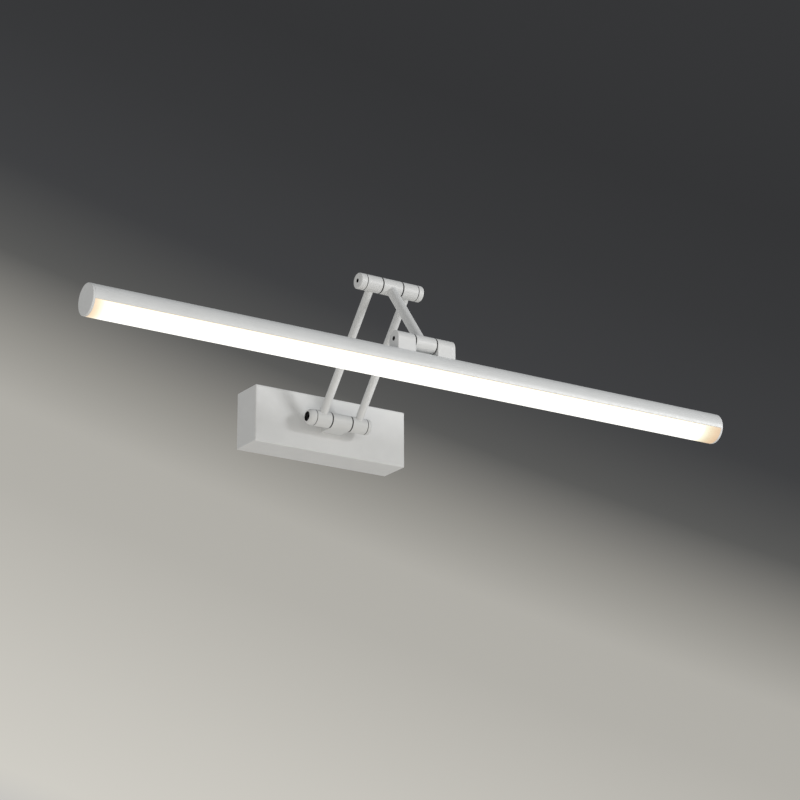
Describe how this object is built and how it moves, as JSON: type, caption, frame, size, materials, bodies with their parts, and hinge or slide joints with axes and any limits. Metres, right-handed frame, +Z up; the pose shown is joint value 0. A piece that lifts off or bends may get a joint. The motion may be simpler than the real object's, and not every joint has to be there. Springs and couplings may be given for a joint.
{
  "type": "picture light",
  "caption": "Wall-mounted picture light: a slim round LED tube with an opal diffuser on a folding arm with friction hinges, standing on a rectangular wall housing.",
  "frame": {"origin": "centre of the housing's back face, on the wall", "axes": "+X along the lamp tube, +Y into the wall, +Z up"},
  "size_m": [0.7, 0.2165, 0.1486],
  "materials": {
    "white_steel": "satin",
    "white_aluminium": "satin",
    "bright_steel": "satin",
    "black_steel": "satin",
    "black_nylon": "matte",
    "black_rubber": "matte",
    "white_plastic": "satin",
    "circuit_board": "satin",
    "led_phosphor": "satin",
    "opal_diffuser": "matte"
  },
  "bodies": {
    "base": {"wall_bracket": "bright_steel", "cable_grommet": "black_rubber", "earth_stud": "bright_steel", "terminal_block": "white_plastic", "led_driver": "white_plastic", "driver_screws": "bright_steel", "mains_leads": "black_rubber", "output_lead": "black_rubber", "base_housing": "white_steel", "housing_screws": "white_steel", "base_pivot_block": "white_steel", "block_screws": "bright_steel"},
    "lower_arm": {"base_left_knuckle": "white_steel", "base_right_knuckle": "white_steel", "left_rod": "white_steel", "right_rod": "white_steel", "elbow_left_knuckle": "white_steel", "elbow_right_knuckle": "white_steel", "base_left_cap": "white_aluminium", "base_right_cap": "white_aluminium", "elbow_left_cap": "white_aluminium", "elbow_right_cap": "white_aluminium", "base_bolt": "black_steel", "base_nut": "bright_steel", "elbow_bolt": "black_steel", "elbow_nut": "bright_steel", "base_washers": "black_nylon", "elbow_washers": "black_nylon", "rod_lead": "black_rubber"},
    "upper_arm": {"elbow_centre_knuckle": "white_steel", "upper_arm_tube": "white_steel", "head_centre_knuckle": "white_steel", "upper_lead": "black_rubber"},
    "head": {"left_ear": "white_aluminium", "right_ear": "white_aluminium", "ear_screws": "bright_steel", "head_pin": "black_steel", "head_washers": "black_nylon", "tube_profile": "white_aluminium", "led_board": "circuit_board", "leds": "led_phosphor", "diffuser": "opal_diffuser", "left_end_cap": "white_aluminium", "right_end_cap": "white_aluminium", "head_lead": "black_rubber"}
  },
  "joints": [
    {"name": "base_pivot", "type": "hinge", "parent": "base", "child": "lower_arm", "pos_m": [0, -0.051, 0], "axis": [1, 0, 0], "range_deg": [-35, 50]},
    {"name": "elbow", "type": "hinge", "parent": "lower_arm", "child": "upper_arm", "pos_m": [0, -0.14394, 0.11155], "axis": [1, 0, 0], "range_deg": [-90, 40]},
    {"name": "head_tilt", "type": "hinge", "parent": "upper_arm", "child": "head", "pos_m": [0, -0.20151, 0.03598], "axis": [1, 0, 0], "range_deg": [-90, 60]}
  ]
}
